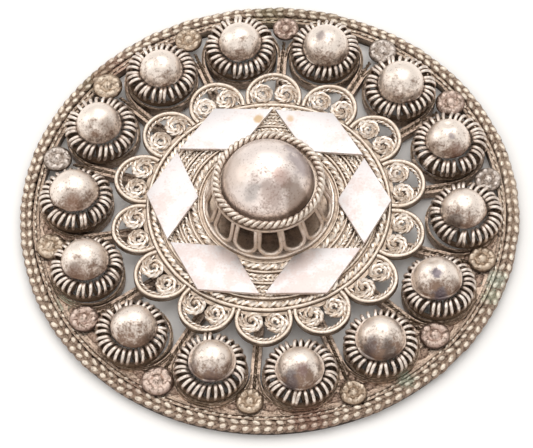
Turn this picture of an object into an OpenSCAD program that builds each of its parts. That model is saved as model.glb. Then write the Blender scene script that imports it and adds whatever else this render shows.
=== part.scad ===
// Round filigree brooch of silver wire and sheet, worn face up here.
// A rope-edged rim holds fourteen coiled knobs round a petalled disc with a raised crown.
// The origin is the middle of the back, the front faces +Z, and the back rests on z = 0.

/* [Rim] */
// Diameter over the outer rope wire
rim_d = 49.9; // [49.6:0.1:50.6]
// Radius of the rim's inner face
rim_in_r = 22.95; // [22.9:0.05:23.0]
// Thickness of the outer rope wire
outer_rope_t = 0.8; // [0.7:0.05:0.85]
// Thickness of the inner rope wire
inner_rope_t = 0.74; // [0.65:0.05:0.8]

/* [Frame] */
// Outer radius of the strip round each cell
cell_r = 4.05; // [4.0:0.01:4.1]
// Distance from the middle to the centre of each cell
cell_at = 18.95; // [18.9:0.05:19.0]
// Thickness of the strips on edge
strip_t = 0.3; // [0.25:0.05:0.35]
// Height of the strips' top edges above the back
strip_top = 1.25; // [1.15:0.05:1.3]

/* [Knobs] */
// Radius of the ring that each coil is bent to
coil_ring_r = 2.8; // [2.7:0.05:2.85]
// Outer radius of the coil's own tube
coil_tube_r = 0.88; // [0.8:0.02:0.9]
// Height of the coil's centre above the back
coil_z = 2.43; // [2.4:0.01:2.5]
// Turns of wire in each coil
coil_turns = 30; // [24:1:34]
// Thickness of the coil's wire
coil_wire_t = 0.38; // [0.34:0.01:0.4]
// Thickness of the sheet of the small domes
dome_sheet = 0.3; // [0.25:0.05:0.4]

/* [Rosettes] */
// Radius of each rosette
rosette_r = 1.32; // [1.2:0.04:1.32]
// Grains round the edge of each rosette
rosette_grains = 8; // [6:1:9]

/* [Disc] */
// Radius of the disc
disc_r = 12.2; // [12.1:0.05:12.2]
// Height of the sheet at the disc's edge
disc_edge_z = 2.2; // [2.15:0.05:2.25]
// Height of the sheet under the gallery
disc_mid_z = 2.9; // [2.85:0.05:2.9]
// Thickness of the disc's sheet
disc_sheet = 0.35; // [0.3:0.05:0.4]

/* [Petals] */
// Outer radius of each petal's arc
petal_r = 2.86; // [2.8:0.01:2.88]
// Distance from the middle to the centre of each petal's arc
petal_at = 13.05; // [13.0:0.05:13.1]
// Thickness of the petals' strip
petal_strip_t = 0.42; // [0.38:0.02:0.46]
// Height of the petals' top edges above the back
petal_top = 2.6; // [2.5:0.05:2.65]

/* [Star] */
// Thickness of the lozenges
lozenge_t = 0.35; // [0.3:0.05:0.4]

/* [Crown] */
// Radius of the crown's dome
crown_r = 4.6; // [4.5:0.02:4.6]
// Height of the dome's foot above the back
crown_z = 6.3; // [6.25:0.05:6.35]
// Radius of the rope ring's centreline
rope_ring_r = 5.2; // [5.2:0.05:5.3]
// Thickness of the rope ring
rope_ring_t = 0.84; // [0.8:0.02:0.86]

/* [Pin] */
// Thickness of the pin at the back
pin_t = 0.8; // [0.7:0.05:0.85]

/* [Hidden] */
// Knobs, cells, petals and rosettes all round the brooch
knobs = 14;
// Lozenges of the star
points = 6;
two_digit = function (i) i < 10 ? str("0", i) : str(i);
rounds = [for (i = [1 : knobs]) two_digit(i)];

// Colours of clean, warm, shaded and browned silver
bright_silver = "#e6ddd8";
warm_silver = "#c9bdb2";
dull_silver = "#a2968a";
brown_silver = "#8a7a68";

// Smoothness of large, middle and small rounds
fine_fn = 144;
mid_fn = 64;
small_fn = 24;
// Small clearance between pieces that lie on each other
gap = 0.05;
// Depth by which soldered shapes run into each other
solder = 0.05;
// Length by which a cut runs past what it cuts
past = 1;

// Angles, counted anticlockwise from +X
pitch = 360 / knobs;
knob_start = 96.3;
spoke_start = knob_start - pitch / 2;
petal_start = 85.5;
star_start = 85;
window_start = -92;

// Rim section
rim_r = rim_d / 2;
rim_base_w = 1.8;
rim_base_h = 0.7;
rim_strip_t = 0.24;
rim_strip_top = 1.15;
rim_fill_top = 1.0;
rim_strip_gap = 0.4;
rope_pitch = 0.62;
outer_rope_z = 0.85;
inner_rope_z = 1.0;
outer_rope_at = rim_r - outer_rope_t / 2;
inner_rope_at = outer_rope_at - rope_pitch;

// Cell frame heights and the hub ring under the disc
strip_z = 0.35;
fill_z = 0.45;
fill_top = 1.1;
corner_z = 0.5;
corner_top = 1;
corner_r = 3.9;
corner_at = 22;
filled_corners = [4 : 10];
wall_top = 1.35;
wall_r = 3.6;
wall_shift = 0.2;
hub_r = 11.75;
hub_in_r = 11.3;
hub_top = 1.75;
spoke_in_r = 11.5;
spoke_fill_end = 19.6;

// Foot ring that joins a coil to the wall under it
foot_r = 3.45;
foot_in_r = 3.1;
foot_top = 1.95;
coil_core_r = 2.25;
coil_core_h = 1.2;

// One row for each knob, clockwise from the first one left of the top
turn = 0; // degrees added to the even place
away = 1; // distance of the coil from the middle
lean = 2; // degrees by which the top leans to the back
size = 3; // size of the coil against the common one
ball = 4; // radius of the dome
flat = 5; // height of the dome against its radius
dx = 6; // dome off its coil's axis, to the right
dy = 7; // dome off its coil's axis, to the back
knob_rows = [
    [0, 19.3, -3, 0.98, 2.12, 1, 0, 0.1],
    [0, 19.45, -3, 0.96, 2.3, 1, 0.15, -0.15],
    [-0.9, 19.25, -2, 1, 2.32, 1, 0.1, -0.1],
    [-0.5, 19.45, 1, 1.03, 2.22, 0.94, -0.15, 0],
    [0.4, 19.6, 2, 1.02, 2.25, 0.92, -0.25, 0],
    [0.3, 19.2, 5, 1.01, 2.36, 0.88, -0.2, 0.2],
    [0, 19.3, -2, 1.01, 2.28, 1, 0, 0.1],
    [0.6, 19.3, 1, 1.01, 2.2, 1, -0.1, -0.1],
    [-0.2, 19.15, -3, 0.99, 2.1, 0.94, 0.2, 0.2],
    [-0.4, 19.6, 0, 0.99, 2.25, 1, 0.25, 0],
    [-0.7, 19.2, 5, 1, 2.36, 0.9, -0.15, 0.15],
    [0.7, 19.25, 5, 1.02, 2.43, 0.86, -0.15, 0.2],
    [0.7, 19.35, -1, 1.01, 2.25, 1, -0.2, 0],
    [-0.2, 19.4, 4, 1, 2.15, 0.96, 0, -0.2]
];

// One row for each rosette, clockwise from the one right of the top
rosette_turn = 0; // degrees added to the even place
rosette_away = 1; // distance from the middle
rosette_rows = [
    [-0.3, 22], [-1.5, 22.25], [0.1, 22.25], [0, 22.15], [1.3, 21.85],
    [0.9, 21.75], [-0.1, 22.35], [-0.8, 21.7], [0.5, 22.1], [-0.7, 21.85],
    [1.2, 22], [0, 22.25], [0, 22.35], [0.2, 22.3]
];
rosette_z = strip_top + gap;
rosette_base_h = 0.3;
grain_r = 0.3;
grain_at = 0.96;
boss_r = 0.42;
boss_z = 0.38;

// Petal border
petal_z = 1.95;
lining_t = 0.4;
lining_top = 2.45;
joint_ring_r = disc_r + 0.4;
joint_ring_h = 0.35;
scroll_r = 1.08;
scroll_hole_r = 0.4;
scroll_at = 13.35;
scroll_side = 1.16;
scroll_z = 2.05;
scroll_top = 2.45;

// Rings on the disc: radius of the middle, width, and rise above the sheet
ring_at = 0;
ring_w = 1;
ring_rise = 2;
disc_rings = [
    [7.35, 0.9, 0.25], [8.0, 0.25, 0.34], [8.6, 0.85, 0.25], [9.2, 0.25, 0.34],
    [10.0, 1.2, 0.25], [10.75, 0.27, 0.38], [11.35, 0.85, 0.3], [12.0, 0.32, 0.44]
];
ring_bite = 0.2;
disc_flat_r = 7.0;
disc_edge_r = 12.15;

// Star plates: one row for each lozenge, clockwise from the one right of the top
plate_turn = 0; // degrees added to the even place
plate_away = 1; // distance of its centre from the middle
plate_long = 2; // length from point to point
plate_wide = 3; // width between the blunt corners
plate_rows = [
    [0.4, 9.49, 10.4, 5.3], [1.9, 9.5, 10, 5.4], [0.8, 9.25, 10.7, 5.85],
    [-1.9, 9.34, 10.7, 5.9], [-2.2, 9.6, 10.3, 5.2], [-1, 9.55, 10.36, 5.5]
];
lozenge_z = 3.15;
lozenge_clear_r = 6.9;

// Gallery: a flat base ring, bent wires, and a top ring with a step
windows = 14;
base_ring_r = 6.6;
base_ring_w = 0.75;
base_ring_z = 2.95;
base_ring_h = 0.3;
wire_t = 0.48;
bend_r = 0.91;
leg_low_r = 6.2;
leg_top_r = 5.25;
bend_z = 3.38;
leg_top_z = 6.6;
gallery_top = 6.72;
ring_low_z = 6.45;
top_ring_r = 5.6;
seat_t = 0.25;
seat_in_r = 4.1;
seat_wall_r = 4.9;
seat_z = crown_z - gap - seat_t;
rope_ring_dx = 0.1;

// Back pin
carrier_l = 22.2;
carrier_w = 2.6;
carrier_z = 1.38;
carrier_h = 0.4;
pin_z = 0.82;
pin_l = 20;
hinge_at = -10;
hinge_l = 1.6;
hinge_w = 2.2;
hinge_z = 0.3;
catch_at = 9.7;
catch_l = 0.9;
catch_low = 0.15;
catch_foot_h = 0.22;
catch_back = 0.45;

// Radius of the sphere whose cap has foot radius a and height h
function cap_sphere(a, h) = (a * a + h * h) / (2 * h);

// Height of the disc's sheet at a radius
function sheet_z(r) =
    disc_edge_z + (disc_mid_z - disc_edge_z) * (disc_edge_r - max(r, disc_flat_r))
    / (disc_edge_r - disc_flat_r);

// Angle of a knob's place
function knob_angle(i) = knob_start - i * pitch + knob_rows[i][turn];

// Height on a coil where a dome of radius r sits when it stands off the axis by d
function seat_lift(r, d) =
    sqrt(coil_tube_r * coil_tube_r - pow(coil_ring_r - min(r + d, coil_ring_r), 2)) + gap;

module at_knob(i) {
    rotate(knob_angle(i))
        translate([knob_rows[i][away], 0, 0])
            rotate(-knob_angle(i))
                children();
}

module leaning(i) {
    translate([0, 0, coil_z])
        rotate([-knob_rows[i][lean], 0, 0])
            children();
}

module rim() {
    color(dull_silver)
        rotate_extrude($fn = fine_fn) {
            translate([rim_in_r, 0])
                square([rim_base_w, rim_base_h]);
            for (i = [0, 1])
                translate([rim_in_r + i * rim_strip_gap, 0])
                    square([rim_strip_t, rim_strip_top]);
            translate([rim_in_r, 0])
                square([rim_strip_gap, rim_fill_top]);
            translate([inner_rope_at, inner_rope_z])
                circle(d = inner_rope_t, $fn = small_fn);
            translate([outer_rope_at, outer_rope_z])
                circle(d = outer_rope_t, $fn = small_fn);
        }
}

// Flat shape of one cell, its strip's outer face moved inwards by inset
module cell_shape(inset) {
    r = cell_r - inset;
    half = pitch / 2;
    side = [cell_at - r * sin(half), r * cos(half)];
    point = cell_at - r / sin(half);
    translate([cell_at, 0])
        circle(r = r, $fn = mid_fn);
    polygon([[point, 0], [side[0], -side[1]], [cell_at, 0], side]);
}

// Flat shape of the corner between two cells and the rim
module corner_shape() {
    difference() {
        translate([corner_at, 0])
            circle(r = corner_r, $fn = mid_fn);
        for (side = [-1, 1])
            rotate(side * pitch / 2)
                cell_shape(solder);
        difference() {
            circle(r = rim_d, $fn = mid_fn);
            circle(r = rim_in_r - gap, $fn = fine_fn);
        }
    }
}

module cell_strips() {
    linear_extrude(strip_top - strip_z)
        difference() {
            for (i = [0 : knobs - 1])
                rotate(knob_start - i * pitch)
                    difference() {
                        cell_shape(0);
                        cell_shape(strip_t);
                    }
            circle(r = spoke_in_r, $fn = fine_fn);
            difference() {
                circle(r = rim_d, $fn = mid_fn);
                circle(r = rim_in_r - gap, $fn = fine_fn);
            }
        }
}

module cell_frame() {
    color(brown_silver) {
        translate([0, 0, strip_z])
            cell_strips();
        // Solder and wire between the paired strips
        spoke_w = 2 * (cell_at * sin(pitch / 2) - cell_r) + 2 * solder;
        for (i = [0 : knobs - 1])
            rotate(spoke_start - i * pitch)
                translate([spoke_in_r, -spoke_w / 2, fill_z])
                    cube([spoke_fill_end - spoke_in_r, spoke_w, fill_top - fill_z]);
        // Corners run full of solder, round the lower half
        for (i = filled_corners)
            rotate(spoke_start - i * pitch)
                translate([0, 0, corner_z])
                    linear_extrude(corner_top - corner_z)
                        corner_shape();
        // Ring wall under each knob
        for (i = [0 : knobs - 1])
            rotate(knob_start - i * pitch)
                translate([cell_at + wall_shift, 0, strip_z])
                    difference() {
                        cylinder(r = wall_r, h = wall_top - strip_z, $fn = mid_fn);
                        translate([0, 0, -past])
                            cylinder(r = wall_r - strip_t, h = wall_top + past, $fn = mid_fn);
                    }
        // Hub ring under the disc
        translate([0, 0, strip_z])
            difference() {
                cylinder(r = hub_r, h = hub_top - strip_z, $fn = fine_fn);
                translate([0, 0, -past])
                    cylinder(r = hub_in_r, h = hub_top + past, $fn = fine_fn);
            }
    }
}

// Flat-sided ring with a side for each turn of the wire; r is the distance of its sides
module sided(r) {
    n = coil_turns;
    polygon([for (i = [0 : n - 1]) r / cos(180 / n) * [cos((i + 0.5) * 360 / n), sin((i + 0.5) * 360 / n)]]);
}

// Ring of coiled wire: a rib for each turn, held together by the turns' inner sides
module coil(s) {
    tube = coil_tube_r * s;
    ring = coil_ring_r * s;
    for (i = [0 : coil_turns - 1])
        rotate(i * 360 / coil_turns)
            translate([ring, 0, 0])
                rotate([90, 0, 0])
                    cylinder(r = tube, h = coil_wire_t, center = true, $fn = small_fn);
    translate([0, 0, -coil_core_h / 2])
        linear_extrude(coil_core_h)
            difference() {
                sided(coil_core_r * s);
                circle(r = ring - tube - solder, $fn = mid_fn);
            }
}

module knob_collar(i) {
    color(warm_silver)
        at_knob(i) {
            leaning(i)
                coil(knob_rows[i][size]);
            translate([0, 0, wall_top + gap])
                linear_extrude(foot_top - wall_top - gap)
                    difference() {
                        sided(foot_r);
                        sided(foot_in_r);
                    }
        }
}

module dome_shell(r, h, sheet) {
    outer = cap_sphere(r, h);
    inner = cap_sphere(r - sheet, h - sheet);
    difference() {
        translate([0, 0, h - outer])
            sphere(r = outer, $fn = mid_fn);
        translate([0, 0, h - sheet - inner])
            sphere(r = inner, $fn = mid_fn);
        translate([0, 0, -2 * outer])
            cube(4 * outer, center = true);
    }
}

module knob_dome(i) {
    row = knob_rows[i];
    color(bright_silver)
        at_knob(i)
            leaning(i)
                translate([row[dx], row[dy], seat_lift(row[ball], norm([row[dx], row[dy]]))])
                    dome_shell(row[ball], row[ball] * row[flat], dome_sheet);
}

module rosette(i) {
    row = rosette_rows[i];
    color(brown_silver)
        rotate(spoke_start - i * pitch + row[rosette_turn])
            translate([row[rosette_away], 0, rosette_z]) {
                cylinder(r = rosette_r, h = rosette_base_h, $fn = mid_fn);
                for (j = [0 : rosette_grains - 1])
                    rotate(j * 360 / rosette_grains)
                        translate([grain_at, 0, rosette_base_h])
                            sphere(r = grain_r, $fn = small_fn);
                translate([0, 0, boss_z])
                    sphere(r = boss_r, $fn = small_fn);
            }
}

// Ring of strip or wire round a petal, from the common foot up to a height
module petal_ring(outer, inner, top) {
    translate([petal_at, 0, petal_z])
        linear_extrude(top - petal_z)
            difference() {
                circle(r = outer, $fn = mid_fn);
                circle(r = inner, $fn = mid_fn);
            }
}

module petal() {
    strip_in_r = petal_r - petal_strip_t;
    petal_ring(petal_r, strip_in_r, petal_top);
    // Twisted wire along the inside of the strip
    petal_ring(strip_in_r + solder, strip_in_r - lining_t, lining_top);
    for (side = [-1, 1])
        translate([scroll_at, side * scroll_side, scroll_z])
            difference() {
                cylinder(r = scroll_r, h = scroll_top - scroll_z, $fn = mid_fn);
                translate([0, 0, -past])
                    cylinder(r = scroll_hole_r, h = scroll_top, $fn = small_fn);
            }
}

module petal_border() {
    color(warm_silver)
        difference() {
            union() {
                for (i = [0 : knobs - 1])
                    rotate(petal_start - i * pitch)
                        petal();
                translate([0, 0, petal_z])
                    cylinder(r = joint_ring_r, h = joint_ring_h, $fn = fine_fn);
            }
            cylinder(r = disc_r + gap, h = 2 * petal_top, $fn = fine_fn);
        }
}

module centre_disc() {
    color(warm_silver)
        rotate_extrude($fn = fine_fn) {
            polygon([
                [0, disc_mid_z - disc_sheet], [disc_flat_r, disc_mid_z - disc_sheet],
                [disc_edge_r, disc_edge_z - disc_sheet], [disc_edge_r, disc_edge_z],
                [disc_flat_r, disc_mid_z], [0, disc_mid_z]
            ]);
            for (row = disc_rings)
                translate([row[ring_at] - row[ring_w] / 2, sheet_z(row[ring_at]) - ring_bite])
                    square([row[ring_w], row[ring_rise] + ring_bite]);
        }
}

module star_lozenge(i) {
    row = plate_rows[i];
    side = row[plate_wide] / 2;
    half = row[plate_long] / 2;
    color(bright_silver)
        difference() {
            rotate(star_start - (i + 0.5) * 360 / points + row[plate_turn])
                translate([row[plate_away], 0, lozenge_z])
                    linear_extrude(lozenge_t)
                        polygon([[-side, 0], [0, -half], [side, 0], [0, half]]);
            cylinder(r = lozenge_clear_r, h = lozenge_z + past, $fn = fine_fn);
        }
}

// One bent wire of the gallery: two legs that rise from a round bend, standing at the middle
module bent_wire() {
    rise = leg_top_z - bend_z;
    splay = leg_low_r - leg_top_r;
    length = norm([splay, rise]);
    rotate([0, -atan(splay / rise), 0]) {
        for (side = [-1, 1])
            translate([0, side * bend_r, bend_r])
                cylinder(d = wire_t, h = length - bend_r, $fn = small_fn);
        translate([0, 0, bend_r])
            rotate([90, 0, 90])
                rotate(180)
                    rotate_extrude(angle = 180, $fn = mid_fn)
                        translate([bend_r, 0])
                            circle(d = wire_t, $fn = small_fn);
    }
}

module gallery() {
    color(warm_silver) {
        for (i = [0 : windows - 1])
            rotate(window_start + i * 360 / windows)
                translate([leg_low_r, 0, bend_z])
                    bent_wire();
        translate([0, 0, base_ring_z])
            difference() {
                cylinder(r = base_ring_r, h = base_ring_h, $fn = fine_fn);
                translate([0, 0, -past])
                    cylinder(r = base_ring_r - base_ring_w, h = base_ring_h + 2 * past, $fn = fine_fn);
            }
        // Top ring with the step that the crown's dome stands on
        rotate_extrude($fn = fine_fn)
            polygon([
                [seat_in_r, seat_z], [seat_wall_r, seat_z], [seat_wall_r, ring_low_z],
                [top_ring_r, ring_low_z], [top_ring_r, gallery_top], [seat_wall_r - seat_t, gallery_top],
                [seat_wall_r - seat_t, seat_z + seat_t], [seat_in_r, seat_z + seat_t]
            ]);
    }
}

module rope_ring() {
    color(warm_silver)
        translate([rope_ring_dx, 0, gallery_top + gap + rope_ring_t / 2])
            rotate_extrude($fn = fine_fn)
                translate([rope_ring_r, 0])
                    circle(d = rope_ring_t, $fn = small_fn);
}

module crown_dome() {
    color(bright_silver)
        translate([0, 0, crown_z])
            dome_shell(crown_r, crown_r, dome_sheet);
}

module back_pin() {
    color(dull_silver) {
        translate([-carrier_l / 2, -carrier_w / 2, carrier_z])
            cube([carrier_l, carrier_w, carrier_h]);
        translate([hinge_at - hinge_l / 2, -hinge_w / 2, hinge_z])
            cube([hinge_l, hinge_w, carrier_z + solder - hinge_z]);
        translate([hinge_at, 0, pin_z])
            rotate([0, 90, 0])
                cylinder(d = pin_t, h = pin_l, $fn = small_fn);
        // Hook that the pin lies in
        translate([catch_at - catch_l / 2, catch_back, catch_low])
            cube([catch_l, pin_t, carrier_z + solder - catch_low]);
        translate([catch_at - catch_l / 2, -catch_back, catch_low])
            cube([catch_l, 2 * catch_back + solder, catch_foot_h]);
    }
}

rim();
cell_frame();
for (i = [0 : knobs - 1])
    knob_collar(i);
for (i = [0 : knobs - 1])
    knob_dome(i);
for (i = [0 : knobs - 1])
    rosette(i);
petal_border();
centre_disc();
for (i = [0 : points - 1])
    star_lozenge(i);
gallery();
rope_ring();
crown_dome();
back_pin();
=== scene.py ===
import math

import bmesh
import bpy
from mathutils import Matrix, Vector, noise


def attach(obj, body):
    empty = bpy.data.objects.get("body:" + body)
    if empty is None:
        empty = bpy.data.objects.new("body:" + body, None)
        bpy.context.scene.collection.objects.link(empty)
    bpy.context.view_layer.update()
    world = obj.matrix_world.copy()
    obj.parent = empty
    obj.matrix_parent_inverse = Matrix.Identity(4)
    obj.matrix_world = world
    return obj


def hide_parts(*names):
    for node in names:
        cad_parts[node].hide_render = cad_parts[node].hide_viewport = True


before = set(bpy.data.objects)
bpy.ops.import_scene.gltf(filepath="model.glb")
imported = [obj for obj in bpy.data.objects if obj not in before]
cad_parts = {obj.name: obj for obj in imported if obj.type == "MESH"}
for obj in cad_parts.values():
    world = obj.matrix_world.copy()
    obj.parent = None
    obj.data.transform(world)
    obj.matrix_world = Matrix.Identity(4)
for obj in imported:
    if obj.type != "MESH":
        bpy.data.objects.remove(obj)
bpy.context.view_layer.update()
print("frame loaded")
noise.seed_set(60)  # without a seed, noise vectors would start from the clock

mm = 0.001
tau = math.tau
upward = Vector((0, 0, 1))
tiny = 1e-6  # lengths and angles below this count as nothing
count = 14  # knobs, cells, petals and rosettes all round
pitch = tau / count
# direction of the first of each, near the top; the others follow clockwise
knobStart, spokeStart, petalStart = math.radians(96.3), math.radians(83.44), math.radians(85.5)


# Helpers for wires and turned shapes
# Numbers inside a noise seed only keep neighbours from being alike.

def polar(radius, angle, height=0.0):
    return Vector((radius * math.cos(angle), radius * math.sin(angle), height))


def wander(point, size, amount):
    # smooth hand-made unevenness, the same at every run
    return noise.noise_vector(point / size) * amount


def arcPath(radius, height, start=0.0, end=tau, points=90, centre=(0, 0)):
    steps = points if abs(end - start - tau) < tiny else points - 1
    middle = Vector((centre[0], centre[1], 0))
    return [middle + polar(radius, start + (end - start) * i / steps, height) for i in range(points)]


def resample(path, number, closed):
    # points spread evenly along the path, and the path's length
    ring = path + [path[0]] if closed else path
    lengths = [0.0]
    for a, b in zip(ring, ring[1:]):
        lengths.append(lengths[-1] + (b - a).length)
    result, k = [], 0
    for i in range(number):
        want = lengths[-1] * i / (number if closed else number - 1)
        while k < len(ring) - 2 and lengths[k + 1] < want:
            k += 1
        share = (want - lengths[k]) / max(lengths[k + 1] - lengths[k], tiny)
        result.append(ring[k].lerp(ring[k + 1], min(share, 1.0)))
    return result, lengths[-1]


# strands of every twist: length of their waves in mm, how far their rubbed side leans upward,
# and the share by which they are less rubbed where they lie low
strandLook = {"wave": 2.5, "up": 0.9, "low": 0.25}


def twisted(path, thick, lay, closed=True, hand=1, perTurn=8, uneven=0.02):
    # two strands laid round a path, each a quarter of thick away from it;
    # lay is the length of one turn, hand its direction
    length = resample(path, 2, closed)[1]
    turns = max(1, round(length / lay))
    points = resample(path, turns * perTurn + (0 if closed else 1), closed)[0]
    last = len(points)
    strands, outs = [], []
    for strand in (0, 1):
        line, out = [], []
        for i, point in enumerate(points):
            before = points[i - 1] if closed or i else points[i]
            after = points[(i + 1) % last] if closed or i + 1 < last else points[i]
            along = (after - before).normalized()
            side = along.cross(upward).normalized()
            up = side.cross(along)
            angle = math.pi * strand + hand * tau * i / perTurn
            away = side * math.cos(angle) + up * math.sin(angle)
            line.append(point + away * thick / 4 + wander(point, strandLook["wave"], uneven))
            rubbed = 1 - strandLook["low"] + strandLook["low"] * away.z
            out.append((away + upward * strandLook["up"]).normalized() * rubbed)
        strands.append(line)
        outs.append(out)
    return strands, outs


slowSwell, fastSwell = 1.1, 2.7  # waves per mm in a wire's thickness


def wires(paths, outs, thick, sides=6, closed=True, swell=0.0):
    # round wire along each path, thicker and thinner by the share swell;
    # "rub" is 1 where a side faces its out direction and 0 where it faces away
    curve = bpy.data.curves.new("wire", "CURVE")
    curve.dimensions = "3D"
    curve.bevel_depth = thick / 2
    curve.bevel_resolution = (sides - 4) // 2
    curve.use_fill_caps = not closed
    for path in paths:
        spline = curve.splines.new("POLY")
        spline.points.add(len(path) - 1)
        for point, place in zip(spline.points, path):
            point.co = (*place, 1)
            slow, fast = noise.noise(place * slowSwell), noise.noise(place * fastSwell)
            point.radius = 1 + swell * slow + swell * fast
        spline.use_cyclic_u = closed
    holder = bpy.data.objects.new("wire", curve)
    bpy.context.scene.collection.objects.link(holder)
    bpy.context.view_layer.update()
    mesh = bpy.data.meshes.new_from_object(holder.evaluated_get(bpy.context.evaluated_depsgraph_get()))
    bpy.data.objects.remove(holder)
    bpy.data.curves.remove(curve)
    centres = [point for path in paths for point in path]
    directions = [out for line in outs for out in line]
    around = len(mesh.vertices) // len(centres)
    rub = []
    for i, vert in enumerate(mesh.vertices):
        k = min(i // around, len(centres) - 1)
        facing = (vert.co - centres[k]).normalized().dot(directions[k])
        rub.append(max(0.0, min(1.0, 0.5 + 0.5 * facing)))
    mesh.attributes.new("rub", "FLOAT", "POINT").data.foreach_set("value", rub)
    return mesh


def turned(bm, profile, steps, centre=(0, 0), angle=tau, start=0.0):
    # a profile of (radius, height) points spun about an upright axis; an open arc gets its two end faces
    full = abs(angle - tau) < tiny
    middle = Vector((centre[0], centre[1], 0))
    verts = [bm.verts.new(middle + polar(r, start, z)) for r, z in profile]
    edges = [bm.edges.new(pair) for pair in zip(verts, verts[1:])]
    if profile[0][0] > tiny:
        edges.append(bm.edges.new((verts[-1], verts[0])))
    geometry = verts + edges if full else verts + edges + [bm.faces.new(verts)]
    bmesh.ops.spin(bm, geom=geometry, cent=middle, axis=upward, angle=angle, steps=steps, use_merge=full)


def closeUp(bm):
    # merges the seam and poles of a turned shape, then turns its faces outward
    bmesh.ops.remove_doubles(bm, verts=bm.verts, dist=1e-4)
    bmesh.ops.recalc_face_normals(bm, faces=bm.faces)


def toMesh(bm, rubAt=None):
    mesh = bpy.data.meshes.new("shape")
    bm.normal_update()
    if rubAt:
        layer = bm.verts.layers.float.new("rub")
        for vert in bm.verts:
            vert[layer] = max(0.0, min(1.0, rubAt(vert)))
    bm.to_mesh(mesh)
    bm.free()
    return mesh


def risingRub(level, rise, start, gain):
    # rub that is start at one level and grows by gain up to another that is rise higher
    return lambda vert: start + (vert.co.z - level) / rise * gain


made = {"pieces": 0, "triangles": 0}


def finish(name, meshes, material, replaced=(), sharpAngle=50):
    # joins meshes, brings them to metres and hands the piece to the frame
    bm = bmesh.new()
    for mesh in meshes:
        bm.from_mesh(mesh)
        bpy.data.meshes.remove(mesh)
    joined = bpy.data.meshes.new(name)
    bm.transform(Matrix.Scale(mm, 4))
    bm.to_mesh(joined)
    bm.free()
    joined.shade_smooth()
    joined.set_sharp_from_angle(angle=math.radians(sharpAngle))
    joined.materials.append(material)
    piece = bpy.data.objects.new(name, joined)
    bpy.context.scene.collection.objects.link(piece)
    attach(piece, "root")
    if replaced:
        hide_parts(*replaced)
    made["pieces"] += 1
    made["triangles"] += sum(len(p.vertices) - 2 for p in joined.polygons)


# Materials

def hexColour(text):
    # an sRGB hex value by the sRGB formula, as the linear numbers that the shader takes
    parts = [int(text[i:i + 2], 16) / 255 for i in (1, 3, 5)]
    return (*(c / 12.92 if c <= 0.04045 else ((c + 0.055) / 1.055) ** 2.4 for c in parts), 1.0)


def addNode(tree, kind, inputs=None, **settings):
    # one node with its settings; an input takes a value or another node's socket
    node = tree.nodes.new(kind)
    for key, value in settings.items():
        setattr(node, key, value)
    for key, value in (inputs or {}).items():
        if isinstance(value, bpy.types.NodeSocket):
            tree.links.new(value, node.inputs[key])
        else:
            node.inputs[key].default_value = value
    return node


# What every silver finish starts from. Lengths are in mm.
plainSilver = {
    "bright": "#e6dcd5",  # clean metal, a little warm
    "grey": "#b3a79d",  # thin, even tarnish
    "brown": "#7a6552",  # thick tarnish in blotches
    "dark": "#2e2521",  # dirt and sulphide in the recesses
    "source": "rub",  # or "normal", on a solid that has no rub: then what faces up is rubbed
    "upRub": {1: -0.2, 2: 1.0, 3: 0.1, 4: 1.0},  # from the normal's height to that rub
    "loosen": 0.5,  # how much the blotches move the rub
    "darkTo": 0.42, "darkSpan": 0.3,  # rub below which the dark shows, and over which it grows
    "brightFrom": 0.62,  # rub from which the metal is bright
    "blotch": 1.6,  # width of the tarnish blotches
    "blotchNoise": {"Detail": 5.0, "Roughness": 0.62},
    "blotchLow": 0.46, "blotchHigh": 0.72,  # noise range over which brown comes in
    "grain": 0.3,  # share of the fine specks in the blotches
    "brownShare": 0.8,
    "speck": 0.22,  # width of the fine specks: the real ones are pits too small for the render
    "speckNoise": {"Detail": 2.0, "Roughness": 0.5},
    "speckLow": 0.60, "speckHigh": 0.70,
    "speckShare": 0.5,
    "gloss": 0.30, "dull": 0.55,  # roughness of bright and of tarnished metal
    "dirtMetal": 0.35,  # how metallic the dirt still is
    "bump": 0.012, "bumpSize": 0.16,  # depth and width of the hand-worked unevenness
    "bumpNoise": {"Detail": 3.0, "Roughness": 0.6},
    "stains": (),  # x, y, radius, colour and share of each
    "ragged": 2.2, "core": 0.35,  # how uneven a stain's outline is, and the share of it that is full
    "front": 0.0,  # tarnish and painted shade on sides that face the lower edge
    "upper": 0.0,  # share of that and of lower that stays at the upper edge
    "lower": 0.0,  # painted shade toward the lower edge of the brooch, where the light falls off, with some tarnish
    "reach": 24.0,  # distance of that edge from the middle
}


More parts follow.
